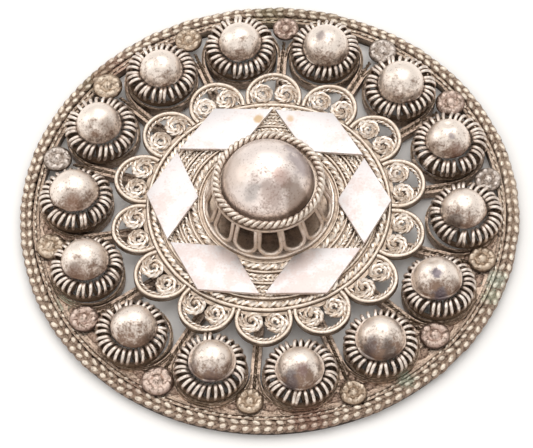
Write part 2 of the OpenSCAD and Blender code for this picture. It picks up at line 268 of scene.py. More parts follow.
def silver(name, **changes):
    # Map Range brings the value in 0 from the range in 1 and 2 to the range in 3 and 4.
    # Mix lays colour 7 over colour 6, by the share in 0.
    look = {**plainSilver, **changes}
    material = bpy.data.materials.new(name)
    material.use_nodes = True
    tree = material.node_tree
    tree.nodes.clear()
    place = addNode(tree, "ShaderNodeTexCoord").outputs["Object"]
    geometry = addNode(tree, "ShaderNodeNewGeometry")
    normal = addNode(tree, "ShaderNodeSeparateXYZ", {0: geometry.outputs["Normal"]})
    if look["source"] == "rub":
        rub = addNode(tree, "ShaderNodeAttribute", attribute_name="rub").outputs["Fac"]
    else:
        rub = addNode(tree, "ShaderNodeMapRange", {0: normal.outputs["Z"], **look["upRub"]}).outputs[0]
    blotch = addNode(tree, "ShaderNodeTexNoise", {"Vector": place, "Scale": 1 / (look["blotch"] * mm),
                     **look["blotchNoise"]}).outputs[0]
    speck = addNode(tree, "ShaderNodeTexNoise", {"Vector": place, "Scale": 1 / (look["speck"] * mm),
                    **look["speckNoise"]}).outputs[0]
    # rub, loosened by noise, decides between dark recess, grey flank and bright ridge
    loose = addNode(tree, "ShaderNodeMath", {0: blotch, 1: 0.5}, operation="SUBTRACT").outputs[0]
    worn = addNode(tree, "ShaderNodeMath", {0: loose, 1: look["loosen"], 2: rub},
                   operation="MULTIPLY_ADD").outputs[0]
    ridge = addNode(tree, "ShaderNodeMapRange", {0: worn, 1: look["darkTo"], 2: look["brightFrom"]},
                    interpolation_type="SMOOTHSTEP").outputs[0]
    recess = addNode(tree, "ShaderNodeMapRange", {0: worn, 1: look["darkTo"],
                     2: look["darkTo"] - look["darkSpan"]}, interpolation_type="SMOOTHSTEP").outputs[0]
    colour = addNode(tree, "ShaderNodeMix", {0: ridge, 6: hexColour(look["grey"]),
                     7: hexColour(look["bright"])}, data_type="RGBA").outputs[2]
    # brown blotches of tarnish, with painted shade added toward the lower edge and on the sides that face it
    along = addNode(tree, "ShaderNodeSeparateXYZ", {0: place}).outputs["Y"]
    down = addNode(tree, "ShaderNodeMapRange", {0: along, 1: look["reach"] * mm, 2: -look["reach"] * mm,
                   3: look["upper"]}).outputs[0]
    facing = addNode(tree, "ShaderNodeMath", {0: normal.outputs["Y"], 1: -look["front"], 2: look["lower"]},
                     operation="MULTIPLY_ADD").outputs[0]
    low = addNode(tree, "ShaderNodeMath", {0: facing, 1: down, 2: blotch},
                  operation="MULTIPLY_ADD").outputs[0]
    grain = look["grain"]
    low = addNode(tree, "ShaderNodeMath", {0: speck, 1: grain, 2: low}, operation="MULTIPLY_ADD").outputs[0]
    brown = addNode(tree, "ShaderNodeMapRange", {0: low, 1: look["blotchLow"] + grain / 2,
                    2: look["blotchHigh"] + grain / 2, 3: 0.0, 4: look["brownShare"]},
                    interpolation_type="SMOOTHSTEP").outputs[0]
    colour = addNode(tree, "ShaderNodeMix", {0: brown, 6: colour, 7: hexColour(look["brown"])},
                     data_type="RGBA").outputs[2]
    specks = addNode(tree, "ShaderNodeMapRange", {0: speck, 1: look["speckLow"], 2: look["speckHigh"],
                     3: 0.0, 4: look["speckShare"]}).outputs[0]
    colour = addNode(tree, "ShaderNodeMix", {0: specks, 6: colour, 7: hexColour(look["dark"])},
                     data_type="RGBA").outputs[2]
    flat = addNode(tree, "ShaderNodeVectorMath", {0: place, 1: (1.0, 1.0, 0.0)},
                   operation="MULTIPLY").outputs[0]
    for x, y, radius, stain, share in look["stains"]:
        away = addNode(tree, "ShaderNodeVectorMath", {0: flat, 1: (x * mm, y * mm, 0.0)},
                       operation="DISTANCE").outputs["Value"]
        ragged = addNode(tree, "ShaderNodeMath", {0: loose, 1: radius * mm * look["ragged"], 2: away},
                         operation="MULTIPLY_ADD").outputs[0]
        spot = addNode(tree, "ShaderNodeMapRange", {0: ragged, 1: radius * mm, 2: radius * look["core"] * mm,
                       3: 0.0, 4: share}, interpolation_type="SMOOTHSTEP").outputs[0]
        colour = addNode(tree, "ShaderNodeMix", {0: spot, 6: colour, 7: hexColour(stain)},
                         data_type="RGBA").outputs[2]
    colour = addNode(tree, "ShaderNodeMix", {0: recess, 6: colour, 7: hexColour(look["dark"])},
                     data_type="RGBA").outputs[2]
    # tarnish is a thin dull film, dirt is hardly metal
    dirt = addNode(tree, "ShaderNodeMath", {0: recess, 1: specks}, operation="MAXIMUM").outputs[0]
    metal = addNode(tree, "ShaderNodeMapRange", {0: dirt, 1: 0.0, 2: 1.0, 3: 1.0,
                    4: look["dirtMetal"]}).outputs[0]
    film = addNode(tree, "ShaderNodeMath", {0: brown, 1: dirt}, operation="MAXIMUM").outputs[0]
    rough = addNode(tree, "ShaderNodeMapRange", {0: film, 1: 0.0, 2: 1.0, 3: look["gloss"],
                    4: look["dull"]}).outputs[0]
    uneven = addNode(tree, "ShaderNodeTexNoise", {"Vector": place, "Scale": 1 / (look["bumpSize"] * mm),
                     **look["bumpNoise"]}).outputs[0]
    bump = addNode(tree, "ShaderNodeBump", {"Height": uneven, "Distance": look["bump"] * mm,
                   "Strength": 1.0})
    shader = addNode(tree, "ShaderNodeBsdfPrincipled", {"Base Color": colour, "Metallic": metal,
                     "Roughness": rough, "Normal": bump.outputs[0]})
    addNode(tree, "ShaderNodeOutputMaterial", {0: shader.outputs[0]})
    return material


# spots of verdigris, brown and rubbed metal round the rim
rimStains = [
    (-20.5, -9.3, 1.1, "#a9b3a0", 0.6), (21.9, -9.1, 1.5, "#b9c6b8", 0.5),
    (21.3, -11.0, 1.2, "#b4bea8", 0.5), (-16.5, 17.2, 2.6, "#6f6a4c", 0.65),
    (1.0, 24.2, 2.2, "#6e6848", 0.5), (12.5, -19.9, 1.2, "#9fb3a2", 0.5),
    (3.0, -23.3, 2.6, "#86594d", 0.45), (-13.5, -19.0, 1.8, "#8a6a5e", 0.4),
    (-15.5, 17.5, 3.0, "#b08a7c", 0.4), (-19.6, -7.5, 1.0, "#5c6b56", 0.6),
    (23.8, 1.5, 6.0, "#dccab8", 0.3), (6.0, 23.5, 5.5, "#7f6f58", 0.3)]
# Crests of twisted drawn wire, rubbed through the tarnish: a row of soft warm glints round the rim, a little
# browner toward the lower edge as painted shade
rimSilver = silver("rope wire, olive-brown tarnish", bright="#e9dccc", grey="#8d7a69", brown="#7b6757",
                   dark="#48392d", darkTo=0.5, brightFrom=0.85, blotch=0.7, brownShare=0.4, speckShare=0.35,
                   gloss=0.36, bump=0.07, bumpSize=0.2, lower=0.07, stains=rimStains)
# Solder and dirt that fill the lays of the twist: rough and brown, so that the crests stand out
dirtSilver = silver("solder and dirt in the lay", bright="#ab9686", grey="#7c6859", brown="#5d493c",
                    dark="#33271f", darkTo=0.52, brightFrom=0.95, blotch=0.4, grain=0.8, speckShare=0.65,
                    bump=0.22, bumpSize=0.2, gloss=0.38, stains=rimStains)
# Rolled strip on edge, soldered down: brown all over, a little paler along the rubbed edge
bandSilver = silver("soldered strip, brown tarnish", bright="#bba695", grey="#806e5b", brown="#604e42",
                    dark="#382b22", darkTo=0.4, brightFrom=0.78, blotch=0.6, grain=0.8, speckShare=0.65,
                    bump=0.14, bumpSize=0.25, gloss=0.4, stains=rimStains)
# The same strip and solder low down between the knobs: dull brown, and painted almost black inside the
# petals' ring as the shade under the petals and disc
frameSilver = silver("strip and solder, brown tarnish", bright="#d4beac", grey="#b19b89", brown="#80695a",
                     dark="#43362d", darkTo=0.25, brightFrom=0.9, blotch=0.7, grain=0.8, bump=0.12,
                     bumpSize=0.3, gloss=0.42, source="normal", stains=[(0, 0, 17.5, "#382a22", 0.9)])
# Solder that ran and set unworked: lumpy, with small dull glints between brown and pink; its dark lumps also
# stand in for painted shade in the lower openings
solderAndShadeSilver = silver("run solder and painted shade, brown and pinkish", bright="#c3a998", grey="#8b7465", brown="#664f42",
                      dark="#382a22", darkTo=0.4, brightFrom=0.95, blotch=0.5, grain=0.8, speckShare=0.6,
                      bump=0.2, bumpSize=0.25, gloss=0.4, stains=rimStains)
# Drawn wire wound on a mandrel: clean bright ridges with brown between the turns, a little browner toward
# the lower edge as painted shade
coilSilver = silver("coiled drawn wire", bright="#e9ddd3", grey="#ad9c90", brown="#8b7668", dark="#65513f",
                    darkTo=0.42, brightFrom=0.76, blotch=1.2, brownShare=0.5, gloss=0.28, lower=0.05)
# the stains that the knobs' domes have
domeStains = [
    (16.0, -10.3, 0.75, "#5f5663", 0.85), (16.3, -12.3, 1.1, "#544b55", 0.8),
    (18.0, -11.2, 0.8, "#7a6558", 0.7), (6.1, 17.9, 0.7, "#75686a", 0.7), (18.5, 5.5, 0.5, "#6a5f66", 0.7),
    (19.0, 4.3, 0.9, "#84675a", 0.7), (2.5, -20.3, 0.9, "#8d7573", 0.7), (1.3, -20.9, 1.0, "#645a5d", 0.75),
    (-6.4, -20.7, 1.4, "#54454a", 0.7), (-8.4, -18.9, 1.0, "#6a5a58", 0.6),
    (-19.5, -7.9, 1.2, "#765b4d", 0.7), (-19.3, 0.3, 1.3, "#8a6c5c", 0.65),
    (11.0, -18.2, 1.1, "#5e5450", 0.7), (9.2, -17.8, 1.0, "#645a5c", 0.65),
    (18.2, -3.9, 1.1, "#54463e", 0.75), (-4.6, -20.3, 0.8, "#6b5a56", 0.6),
    (-15.8, 9.0, 1.0, "#8a7668", 0.5), (-12.0, -15.6, 0.9, "#7d685a", 0.6)]
# Pressed sheet, hand polished and worn: soft gloss, clouds, pits, and brown where a dome faces the front and
# toward the lower edge, which is tarnish with painted shade
domeSilver = silver("pressed sheet, worn polish", bright="#f3e7dd", grey="#cdbfb4", brown="#846b5b",
                    dark="#5d4a40", darkTo=0.2, brightFrom=0.7, blotch=1.0, blotchLow=0.55, blotchHigh=0.95,
                    grain=0.45, brownShare=0.95, front=0.45, upper=0.5, lower=0.06, gloss=0.36, dull=0.5,
                    bump=0.025, bumpSize=0.3, speckShare=0.3, stains=domeStains)
# The same sheet on the crown, better kept: a broad soft shine with a few brown and grey clouds, and a little
# painted shade on the side that faces the front
crownSilver = silver("pressed crown sheet, worn polish", bright="#f3e7e1", grey="#cdbdb5", brown="#a58e84",
                     dark="#5d4a40", darkTo=0.15, brightFrom=0.6, blotch=2.0, blotchLow=0.5, blotchHigh=0.8,
                     grain=0.5, front=0.18, gloss=0.36, bump=0.015, bumpSize=0.4, speckShare=0.25,
                     stains=[(3.4, 0.3, 1.7, "#8d7f85", 0.6), (2.5, 1.9, 1.1, "#8f8289", 0.55),
                             (1.3, -1.6, 1.3, "#a98478", 0.6), (0.4, -3.1, 1.5, "#967d73", 0.6),
                             (2.7, -2.9, 1.8, "#7d6657", 0.7), (-3.2, -0.4, 1.9, "#c9b8ac", 0.6),
                             (-1.5, -2.6, 0.9, "#97918f", 0.5)])
# Granules soldered close together: small rubbed tops that glint, brown between them, in three shades
rosetteLook = {"darkTo": 0.25, "brightFrom": 0.75, "blotch": 0.5, "grain": 0.8, "bump": 0.12,
               "bumpSize": 0.3, "gloss": 0.34, "speckShare": 0.35}
rosetteSilver = [
    silver("granules sunk in yellowish solder", bright="#dccbb8", grey="#a8937f", brown="#7d6854",
           dark="#574334", **rosetteLook),
    silver("granules with pinkish tarnish", bright="#d9c4b8", grey="#a38b80", brown="#75604f",
           dark="#54423a", **rosetteLook),
    silver("granules rubbed pale", bright="#dfd4cc", grey="#a5978d", brown="#786a5f",
           dark="#524439", **rosetteLook)]
# Thin strip and fine twisted wire, rubbed on top: crisp pale lines over brown, with the strips' lower walls
# painted dark as shade
petalSilver = silver("petal strip and twisted wire", bright="#fbf1e7", grey="#cbbaaa", brown="#a08b78",
                     dark="#74604c", darkTo=0.3, brightFrom=0.62, blotch=1.2, brownShare=0.4, grain=0.6,
                     gloss=0.32)
# Two thick drawn wires twisted: round pale crests, brown in the lays, and painted shade toward the front
crownWire = silver("crown rope wire", bright="#eee2d6", grey="#b9a797", brown="#8d7867", dark="#5c4839",
                   darkTo=0.4, brightFrom=0.8, blotch=1.1, brownShare=0.55, front=0.38, gloss=0.33,
                   bump=0.025)
# Drawn wire bent into loops: smooth pale legs that stand out from the dark inside, which is painted shade
galleryWire = silver("gallery wire", bright="#fdf3ea", grey="#cfbeaf", brown="#9c8573", dark="#5c4839",
                     darkTo=0.35, brightFrom=0.7, blotch=1.1, brownShare=0.25, gloss=0.38, bump=0.025)
# Rings of twisted wire on sheet: fine pale grooves with brown in them, and painted black within the crown's
# foot as the shade seen through the gallery
discSilver = silver("twisted wire on sheet", bright="#faefe3", grey="#c9b6a5", brown="#a18a74",
                    dark="#78634f", darkTo=0.36, brightFrom=0.68, blotch=1.2, brownShare=0.45, grain=0.5,
                    gloss=0.33, stains=[(0, 0, 5.9, "#33262a", 0.85)])
# Sheet cut flat and scraped: white and half matt, with faint pinkish clouds, more of them toward the lower
# edge as painted shade. Its scratches are hundredths of a millimetre wide, too fine for the render, so they
# are drawn 0.12 mm wide.
plateSilver = silver("flat cut plate, white and finely scratched", bright="#ddd8d8", grey="#cdbba6",
                     brown="#d8c5bf", darkTo=0.1, brightFrom=0.5, blotch=1.9, blotchLow=0.52,
                     blotchHigh=0.72, brownShare=0.6, speckShare=0.08, gloss=0.44, dull=0.52, bump=0.006,
                     bumpSize=0.12, lower=0.16, reach=12.0,
                     stains=[(-0.65, 9.75, 0.75, "#b99a6c", 0.8), (2.6, 9.5, 0.55, "#c9ab86", 0.75)])
print("materials made")


# Rim: two rows of twisted wire full of dirt, their rubbed crests, and a band with strips on edge

rim = {"outer": 24.55, "outerHeight": 0.85, "outerThick": 0.8,
       "inner": 23.93, "innerHeight": 1.0, "innerThick": 0.74,
       "close": 0.6, "strand": 0.68,  # shares of that thickness: how wide the twist is laid, one strand
       "lay": 2.2, "perTurn": 12, "points": 480, "swell": 0.12, "wave": 1.8, "uneven": 0.1,
       "strandUneven": 0.04,
       "fillAt": 24.24, "fillHeight": 0.95, "fill": 0.46}  # solder between the two rows
# half sizes of one crest in mm, its slant in degrees, and how unevenly the crests lie, lean and swell
bead = {"long": 0.44, "wide": 0.27, "high": 0.23, "ball": 1.03, "slant": 16, "sunk": 0.15,
        "shift": 0.16, "lift": 0.09, "lean": 16, "swell": 0.35, "rubFrom": 0.14, "rub": (0.7, 0.6)}
# the row of small crests between the band's two strips
smallBeads = {"radius": 23.35, "height": 0.98, "thick": 0.4, "hand": 1, "size": 0.62}
# the band with its two strips, from the lower inner edge round the outside; radius and height
band = {"profile": [(22.95, 0), (24.6, 0), (24.7, 0.3), (24.6, 0.7), (23.74, 0.72), (23.59, 0.8),
                    (23.59, 1.15), (23.35, 1.15), (23.33, 1.0), (23.21, 1.0), (23.19, 1.15), (22.95, 1.15)],
        "steps": 240, "unevenAbove": 0.75, "wave": 0.9, "uneven": 0.05,
        "rubFrom": 0.9, "rubRise": 0.25, "rub": (0.25, 0.75)}


def beadRow(radius, height, thick, hand, size=1.0):
    # the rubbed crests of a twist's strands, as far as they stand out of the dirt
    bm = bmesh.new()
    bmesh.ops.create_uvsphere(bm, u_segments=8, v_segments=6, radius=bead["ball"])
    ball = toMesh(bm)
    level = height + thick / 2 - bead["rubFrom"] * size
    number = 2 * round(tau * radius / (rim["lay"] * size ** 0.5))
    meshes = []
    for k in range(number):
        seed = Vector((k * 1.3, radius, 0))
        off = noise.noise_vector(seed)
        angle = tau * (k + bead["shift"] * off.x) / number
        lift = thick / 2 - bead["sunk"] * size + bead["lift"] * off.z
        place = polar(radius, angle, height)
        place += wander(place, rim["wave"], rim["uneven"]) + upward * lift
        turn = angle + math.pi / 2 + hand * math.radians(bead["slant"] + bead["lean"] * off.y)
        grow = size * (1 + bead["swell"] * noise.noise(seed * 2.1))
        shape = Matrix.Diagonal((bead["long"] * grow, bead["wide"] * size, bead["high"] * size, 1))
        bm = bmesh.new()
        bm.from_mesh(ball)
        bm.transform(Matrix.Translation(place) @ Matrix.Rotation(turn, 4, "Z") @ shape)
        meshes.append(toMesh(bm, risingRub(level, bead["high"] * size, *bead["rub"])))
    bpy.data.meshes.remove(ball)
    return meshes


def rimLine(radius, height):
    line = arcPath(radius, height, points=rim["points"])
    return [p + wander(p, rim["wave"], rim["uneven"]) for p in line]


def rimPieces():
    ropes, beads = [], []
    for row, hand in (("outer", 1), ("inner", -1)):
        radius, height, thick = rim[row], rim[row + "Height"], rim[row + "Thick"]
        strands = twisted(rimLine(radius, height), thick * rim["close"], rim["lay"], hand=hand,
                          perTurn=rim["perTurn"], uneven=rim["strandUneven"])
        ropes.append(wires(*strands, thick * rim["strand"], sides=10, swell=rim["swell"]))
        beads += beadRow(radius, height, thick, hand)
    line = rimLine(rim["fillAt"], rim["fillHeight"])
    ropes.append(wires([line], [[upward] * len(line)], rim["fill"], sides=8, swell=rim["swell"]))
    finish("rim_ropes", ropes, dirtSilver, ["rim"])
    bm = bmesh.new()
    turned(bm, band["profile"], band["steps"])
    closeUp(bm)
    for vert in bm.verts:
        if vert.co.z > band["unevenAbove"]:
            vert.co += wander(vert.co, band["wave"], band["uneven"])
    strips = toMesh(bm, risingRub(band["rubFrom"], band["rubRise"], *band["rub"]))
    finish("rim_band", [strips], bandSilver)
    beads += beadRow(**smallBeads)
    finish("rim_crests", beads, rimSilver)


rimPieces()
print("rim made")


# Cell frame: the solid stays, with a twisted wire laid in each spoke

spoke = {"from": 15.4, "to": 20.6, "height": 1.12, "thick": 0.38, "strand": 0.55, "lay": 0.8, "uneven": 0.03}
# upper edges of the strips that are bent round the knobs;
# each arc's radius, height, distance from the middle and half angle in degrees
stripEdge = {"thick": 0.17, "points": 72, "wave": 0.8, "uneven": 0.09,
             "arcs": ((3.5, 1.38, 19.15, 175), (3.92, 1.3, 18.95, 100))}
# corners that ran full of solder, whose dark lumps also stand in for the shade in these lower openings,
# counted from 0; each lump's side of the rosette, distance, half width
cornerSolderAndShade = {"corners": range(4, 11), "spread": 1.75, "height": 0.95, "high": 0.26, "long": 0.5,
                "lumps": ((-1, 22.1, 0.95), (1, 22.1, 0.95), (-0.4, 20.7, 0.6), (0.4, 20.5, 0.6)),
                "uneven": 0.3, "waves": 1.7, "fineUneven": 0.12, "fineWaves": 5.5, "rub": (0.3, 0.6)}


def spokeWires():
    # the spokes' wires and the bright upper edges of the bent strips
    paths, outs = [], []
    edges, ways = [], []
    for i in range(count):
        angle = knobStart - i * pitch
        for radius, height, away, half in stripEdge["arcs"]:
            reach, centre = math.radians(half), polar(away, angle).xy
            line = arcPath(radius, height, angle - reach, angle + reach, stripEdge["points"], centre)
            line = [p + wander(p, stripEdge["wave"], stripEdge["uneven"]) for p in line]
            edges.append(line)
            ways.append([upward] * len(line))
    for i in range(count):
        angle = spokeStart - i * pitch
        line = [polar(spoke[end], angle, spoke["height"]) for end in ("from", "to")]
        strands, away = twisted(line, spoke["thick"], spoke["lay"], closed=False, uneven=spoke["uneven"])
        paths += strands
        outs += away
    twists = wires(paths, outs, spoke["thick"] * spoke["strand"], closed=False)
    strips = wires(edges, ways, stripEdge["thick"], closed=False)
    finish("spoke_wires", [twists, strips], bandSilver)


def solderAndShadePatches():
    # a lumpy skin of dark solder on each filled corner, beside the rosette and below it; it also stands in
    # for the shade that falls in these openings
    meshes = []
    level, high = cornerSolderAndShade["height"], cornerSolderAndShade["high"]
    for i in cornerSolderAndShade["corners"]:
        for side, along, wide in cornerSolderAndShade["lumps"]:
            bm = bmesh.new()
            bmesh.ops.create_icosphere(bm, subdivisions=4, radius=1.0)
            for vert in bm.verts:
                seed = vert.co * cornerSolderAndShade["waves"] + Vector((i * 3.1, side * 5.3, along))
                fine = vert.co * cornerSolderAndShade["fineWaves"] + Vector((0, side, i * 2.3))
                lump = 1 + cornerSolderAndShade["uneven"] * noise.noise(seed)
                vert.co *= lump + cornerSolderAndShade["fineUneven"] * noise.noise(fine)
                vert.co = Vector((vert.co.x * cornerSolderAndShade["long"], vert.co.y * wide, vert.co.z * high))
            angle = spokeStart - i * pitch
            middle = polar(along, angle + side * cornerSolderAndShade["spread"] / along, level)
            bm.transform(Matrix.Translation(middle) @ Matrix.Rotation(angle, 4, "Z"))
            meshes.append(toMesh(bm, risingRub(level, high, *cornerSolderAndShade["rub"])))
    finish("corner_solder_and_shade", meshes, solderAndShadeSilver)


spokeWires()
solderAndShadePatches()
for nodeName in ("cell_frame", "back_pin"):
    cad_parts[nodeName].data.materials.clear()
    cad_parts[nodeName].data.materials.append(frameSilver)
print("cell frame made")


# Knobs: a wire wound into a ring on a small foot, and a hollow half ball on it

# shifts are how far loops stray, in radians, with the waves per mm of each; uneven and waves are
# the same for the loops' width, and pushDrift slants the loops that have been pushed
coil = {"ring": 2.8, "tube": 0.88, "height": 2.43, "turns": 30, "wire": 0.38, "perTurn": 14,
        "shifts": ((0.09, 1.9), (0.05, 4.1)), "uneven": 0.05, "waves": 3.3, "seedAt": 2.6, "pushDrift": 4,
        "foot": [(3.1, 1.4), (3.4, 1.4), (3.45, 1.65), (3.35, 1.95), (3.1, 1.95)], "footSteps": 40,
        "footRub": 0.08}
dome = {"sheet": 0.2, "steps": 44, "rings": 13, "clear": 0.05, "wave": 1.6, "uneven": 0.035,
        "brim": 0.22, "brimmed": (6, 7, 8, 9), "narrowBrim": 0.05,  # the brim's width, and on which knobs
        "lip": ((0, 0.06), (0.04, 0.02)), "brimTop": 0.07, "brimUnder": -0.05, "brimFrom": 0.03,
        "brimUneven": 0.04, "dentFall": 1.6, "dentAbove": 0.3,
        # the dome's lowest band, in the gap to the coil, is painted dark as dirt and shade
        "rub": 0.75, "dirtAndShadeBelow": 0.12, "dirtAndShadeRub": 0.15}
# turn in degrees, distance, lean in degrees, size, dome radius, dome height share,
# how far the dome is off the axis in x and y
knobTable = [
    (0, 19.3, -3, 0.98, 2.12, 1, 0, 0.1), (0, 19.45, -3, 0.96, 2.3, 1, 0.15, -0.15),
    (-0.9, 19.25, -2, 1, 2.32, 1, 0.1, -0.1), (-0.5, 19.45, 1, 1.03, 2.22, 0.94, -0.15, 0),
    (0.4, 19.6, 2, 1.02, 2.25, 0.92, -0.25, 0), (0.3, 19.2, 5, 1.01, 2.36, 0.88, -0.2, 0.2),
    (0, 19.3, -2, 1.01, 2.28, 1, 0, 0.1), (0.6, 19.3, 1, 1.01, 2.2, 1, -0.1, -0.1),
    (-0.2, 19.15, -3, 0.99, 2.1, 0.94, 0.2, 0.2), (-0.4, 19.6, 0, 0.99, 2.25, 1, 0.25, 0),
    (-0.7, 19.2, 5, 1, 2.36, 0.9, -0.15, 0.15), (0.7, 19.25, 5, 1.02, 2.43, 0.86, -0.15, 0.2),
    (0.7, 19.35, -1, 1.01, 2.25, 1, -0.2, 0), (-0.2, 19.4, 4, 1, 2.15, 0.96, 0, -0.2)]
# places where loops have been pushed: knob, direction in degrees, half width in degrees, push in degrees
bentLoops = [(9, -20, 25, 6), (8, 10, 20, -5), (10, 15, 20, 5), (3, -80, 18, 5), (1, -100, 22, 4),
             (14, -60, 15, 4)]
# dents in the domes: knob, direction in degrees, share of the dome's radius, radius, depth
dents = [(2, 100, 0.5, 0.7, 0.12), (4, 95, 0.3, 0.55, 0.3), (4, 60, 0.45, 0.4, 0.15),
         (6, 110, 0.45, 0.8, 0.3), (6, 200, 0.3, 0.7, 0.2), (7, -80, 0.3, 0.5, 0.1)]


def knobPlace(i):
    # the knob's place, upright for its foot and leaning for the rest
    turn, away, lean = knobTable[i][:3]
    upright = Matrix.Translation(polar(away, knobStart - i * pitch + math.radians(turn)))
    lifted = upright @ Matrix.Translation((0, 0, coil["height"]))
    return upright, lifted @ Matrix.Rotation(-math.radians(lean), 4, "X")


def coilMesh(i, place):
    size = knobTable[i][3]
    tube = coil["tube"] * size - coil["wire"] / 2
    line, out = [], []
    for k in range(coil["turns"] * coil["perTurn"]):
        around = tau * k / coil["perTurn"]
        angle = around / coil["turns"]
        seed = polar(coil["seedAt"], angle, 7.3 * i)
        shift = sum(amount * noise.noise(seed * waves) for amount, waves in coil["shifts"])
        for knob, direction, width, push in bentLoops:
            if knob == i + 1:
                off = math.remainder(angle - math.radians(direction), tau) / math.radians(width)
                swing = math.sin(around / 2 + off * coil["pushDrift"])  # loops lean to and fro in turn
                shift += math.radians(push) * math.exp(-off * off) * swing
        wide = tube * (1 + coil["uneven"] * noise.noise(seed * coil["waves"]))
        core = polar(coil["ring"] * size, angle + shift)
        away = polar(math.cos(around), angle + shift, math.sin(around))
        line.append(place @ (core + away * wide))
        out.append((place.to_3x3() @ away).normalized())
    return wires([line], [out], coil["wire"], sides=8)


def footMesh(upright):
    bm = bmesh.new()
    turned(bm, coil["foot"], coil["footSteps"])
    closeUp(bm)
    bm.transform(upright)
    return toMesh(bm, lambda v: coil["footRub"])


def domeMesh(i, place):
    ball, flat, dx, dy = knobTable[i][4:]
    high, wall = ball * flat, dome["sheet"]
    sphere = (ball * ball + high * high) / (2 * high)
    reach = math.asin(min(1.0, ball / sphere))
    arc = [reach * k / dome["rings"] for k in range(dome["rings"] + 1)]
    outer = [(sphere * math.sin(a), high - sphere + sphere * math.cos(a)) for a in arc]
    within = sphere - wall
    inner = [(within * math.sin(a), high - sphere + within * math.cos(a)) for a in reversed(arc)]
    edge = dome["brim"] if i + 1 in dome["brimmed"] else dome["narrowBrim"]
    brim = [(ball + outward, z) for outward, z in dome["lip"]]
    brim += [(ball + edge, dome["brimTop"]), (ball + edge, 0.0), (ball, dome["brimUnder"])]
    bm = bmesh.new()
    turned(bm, outer[:-1] + brim + inner[1:], dome["steps"])
    closeUp(bm)
    for vert in bm.verts:
        spread = Vector((vert.co.x, vert.co.y))
        vert.co += wander(vert.co + Vector((0, 0, 9.1 * i)), dome["wave"], dome["uneven"])
        if spread.length > ball + dome["brimFrom"]:
            seed = Vector((vert.co.x, vert.co.y, 5.0 * i))
            vert.co.xy *= 1 + dome["brimUneven"] * noise.noise(seed)
        for knob, direction, share, radius, depth in dents:
            if knob == i + 1 and vert.co.z > dome["dentAbove"]:
                at = polar(share * ball, math.radians(direction))
                off = (spread - at.xy).length / radius
                vert.co.z -= depth * math.exp(-off * off * dome["dentFall"])
    # each dome rests on its coil, just clear of the wire
    gap = coil["ring"] - min(ball + math.hypot(dx, dy), coil["ring"])
    lift = math.sqrt(coil["tube"] ** 2 - gap ** 2) + dome["clear"]
    bm.transform(Matrix.Translation((dx, dy, lift)))
    # the lowest band, next to the coil, is painted dark as dirt and shade
    for vert in bm.verts:
        vert.tag = vert.co.z - lift < dome["dirtAndShadeBelow"]
    bm.transform(place)
    return toMesh(bm, lambda v: dome["dirtAndShadeRub"] if v.tag else dome["rub"])


for i in range(count):
    label = "%02d" % (i + 1)
    upright, place = knobPlace(i)
    finish("knob_coil_" + label, [coilMesh(i, place), footMesh(upright)], coilSilver,
           ["knob_collar_" + label])
    finish("knob_top_" + label, [domeMesh(i, place)], domeSilver, ["knob_dome_" + label])
print("knobs made")


# Rosettes: a boss and worn granules on a small round plate

rosette = {"radius": 1.32, "foot": 1.3, "top": 1.58, "rings": 15, "steps": 56,
           "edge": 0.05, "edgeDrop": 0.06, "edgeSlope": 0.2, "topFrom": 0.02,
           "grains": 8, "grainAt": 0.9, "grain": 0.32, "boss": 0.45, "flatten": 0.8,
           "turnUneven": 0.5, "placeUneven": 0.12, "sizeUneven": 0.35,
           "ring": 0.62, "ringWide": 0.2, "ringDeep": 0.08,  # the groove round the boss
           "run": 0.16, "runWaves": 1.7, "rough": 0.05, "roughWaves": 5,
           "rubRise": 0.27, "rub": (0.22, 0.6)}
# turn in degrees, distance, finish, size; the larger ones are also rounder on top
rosetteTable = [(-0.3, 22, 1, 1), (-1.5, 22.25, 2, 1.08), (0.1, 22.25, 1, 1.12), (0, 22.15, 2, 1.03),
                (1.3, 21.85, 0, 1.05), (0.9, 21.75, 1, 1.12), (-0.1, 22.35, 0, 1.02), (-0.8, 21.7, 0, 1.05),
                (0.5, 22.1, 1, 1.22), (-0.7, 21.85, 1, 1.1), (1.2, 22, 0, 1.1), (0, 22.25, 2, 1.08),
                (0, 22.35, 0, 1.12), (0.2, 22.3, 0, 1.04)]


def rosetteGrains(i):
    # place and radius of the boss and of each granule
    grains = [(Vector((0, 0)), rosette["boss"])]
    for j in range(rosette["grains"]):
        seed = Vector((i * 2.3, j * 1.7, 0))
        spin = tau * (j + rosette["turnUneven"] * noise.noise(seed)) / rosette["grains"]
        away = rosette["grainAt"] + rosette["placeUneven"] * noise.noise(seed + Vector((0, 0, 5)))
        size = rosette["grain"] * (1 + rosette["sizeUneven"] * noise.noise(seed + Vector((0, 0, 9))))
        grains.append((polar(away, spin).xy, size))
    return grains


